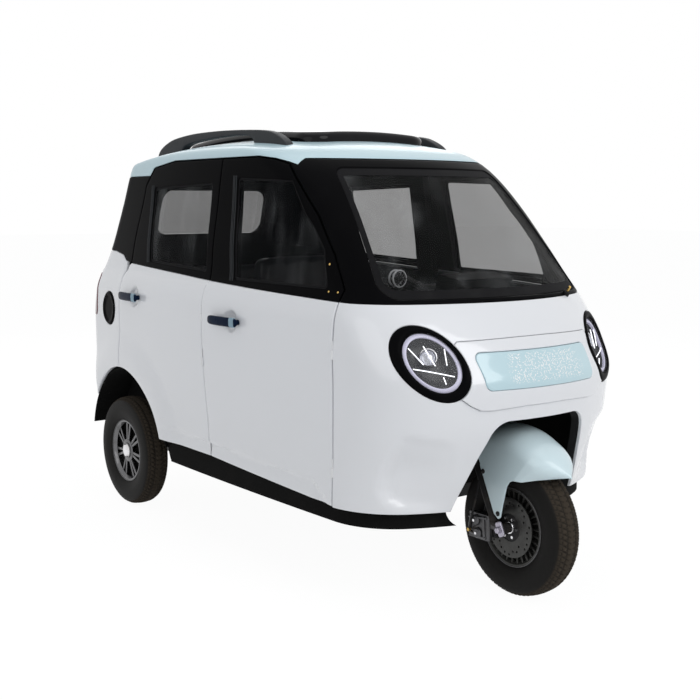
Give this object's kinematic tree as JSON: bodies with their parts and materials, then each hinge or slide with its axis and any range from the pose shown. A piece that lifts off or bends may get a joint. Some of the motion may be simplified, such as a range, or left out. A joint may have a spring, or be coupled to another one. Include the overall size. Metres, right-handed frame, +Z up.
{
  "type": "enclosed electric three-wheeled car",
  "caption": "small enclosed passenger car with a single steered front wheel, a driven rear axle, side doors and a cabin with a bench behind the driver",
  "frame": {"origin": "on the ground under the middle of the whole car's bounding box", "axes": "+Z up, the car faces -Y, +X is the car's left"},
  "size_m": [1.234, 2.4653, 1.56],
  "materials": {
    "white_paint": "gloss",
    "blue_paint": "gloss",
    "black_gloss": "gloss",
    "tinted_glass": "tinted, clear",
    "lamp_lens": "clear",
    "tail_lens": "gloss",
    "black_plastic": "matte, grained",
    "handle_blue": "film-covered gloss",
    "rail_grey": "satin",
    "black_steel": "satin",
    "bright_metal": "polished",
    "wheel_alloy": "cast, dark",
    "tyre": "matte",
    "seat_cover": "artificial leather",
    "battery_case": "matte"
  },
  "bodies": {
    "body": {"battery_block": "battery_case", "cabin_frame": "black_steel", "charge_port_cover": "black_gloss", "chassis_frame": "black_steel", "dashboard": "black_plastic", "demister_fan": "black_plastic", "door_hinges": "black_steel", "driver_seat_back": "seat_cover", "driver_seat_cushion": "seat_cover", "floor_pan": "black_steel", "front_shell": "white_paint", "front_wheel_liner": "black_plastic", "grille_panel": "blue_paint", "headlamp_bezels": "black_gloss", "headlamp_lenses": "lamp_lens", "number_plate_holder": "black_plastic", "rear_axle": "black_steel", "rear_bench_back": "seat_cover", "rear_bench_cushion": "seat_cover", "rear_shell": "white_paint", "rear_surround": "black_gloss", "rear_suspension": "black_steel", "rear_wheel_liners": "black_plastic", "rear_window_glass": "tinted_glass", "roof_panel": "blue_paint", "roof_rails": "rail_grey", "sill_skirts": "black_plastic", "sunroof_panel": "black_gloss", "tail_lamps": "tail_lens", "windshield_glass": "tinted_glass", "windshield_surround": "black_gloss", "wiper_spindle": "black_plastic"},
    "steering": {"front_fork": "black_steel", "handlebar": "black_steel", "front_fender": "blue_paint", "brake_caliper": "bright_metal"},
    "front_wheel": {"front_tyre": "tyre", "front_rim": "wheel_alloy"},
    "rear_wheel_left": {"rear_tyre_left": "tyre", "rear_rim_left": "wheel_alloy"},
    "rear_wheel_right": {"rear_tyre_right": "tyre", "rear_rim_right": "wheel_alloy"},
    "front_door_left": {"front_door_panel_left": "white_paint", "front_door_frame_left": "black_gloss", "front_door_glass_left": "tinted_glass", "front_door_handle_left": "handle_blue"},
    "front_door_right": {"front_door_panel_right": "white_paint", "front_door_frame_right": "black_gloss", "front_door_glass_right": "tinted_glass", "front_door_handle_right": "handle_blue"},
    "rear_door_left": {"rear_door_panel_left": "white_paint", "rear_door_frame_left": "black_gloss", "rear_door_glass_left": "tinted_glass", "rear_door_handle_left": "handle_blue"},
    "rear_door_right": {"rear_door_panel_right": "white_paint", "rear_door_frame_right": "black_gloss", "rear_door_glass_right": "tinted_glass", "rear_door_handle_right": "handle_blue"}
  },
  "joints": [
    {"name": "steering_turn", "type": "hinge", "parent": "body", "child": "steering", "pos_m": [0, -0.964, 0.23], "axis": [0, 0.4226, 0.9063], "range_deg": [-35, 35]},
    {"name": "front_wheel_spin", "type": "hinge", "parent": "steering", "child": "front_wheel", "pos_m": [0, -1.004, 0.23], "axis": [1, 0, 0], "continuous": true},
    {"name": "rear_wheel_left_spin", "type": "hinge", "parent": "body", "child": "rear_wheel_left", "pos_m": [0.497, 0.808, 0.23], "axis": [1, 0, 0], "continuous": true},
    {"name": "rear_wheel_right_spin", "type": "hinge", "parent": "body", "child": "rear_wheel_right", "pos_m": [-0.497, 0.808, 0.23], "axis": [1, 0, 0], "continuous": true},
    {"name": "front_door_left_swing", "type": "hinge", "parent": "body", "child": "front_door_left", "pos_m": [0.538, -0.699, 0.6], "axis": [0, 0, -1], "range_deg": [0, 65]},
    {"name": "front_door_right_swing", "type": "hinge", "parent": "body", "child": "front_door_right", "pos_m": [-0.538, -0.699, 0.6], "axis": [0, 0, 1], "range_deg": [0, 65]},
    {"name": "rear_door_left_swing", "type": "hinge", "parent": "body", "child": "rear_door_left", "pos_m": [0.587, 0.046, 0.6], "axis": [0, 0, -1], "range_deg": [0, 65]},
    {"name": "rear_door_right_swing", "type": "hinge", "parent": "body", "child": "rear_door_right", "pos_m": [-0.587, 0.046, 0.6], "axis": [0, 0, 1], "range_deg": [0, 65]}
  ]
}
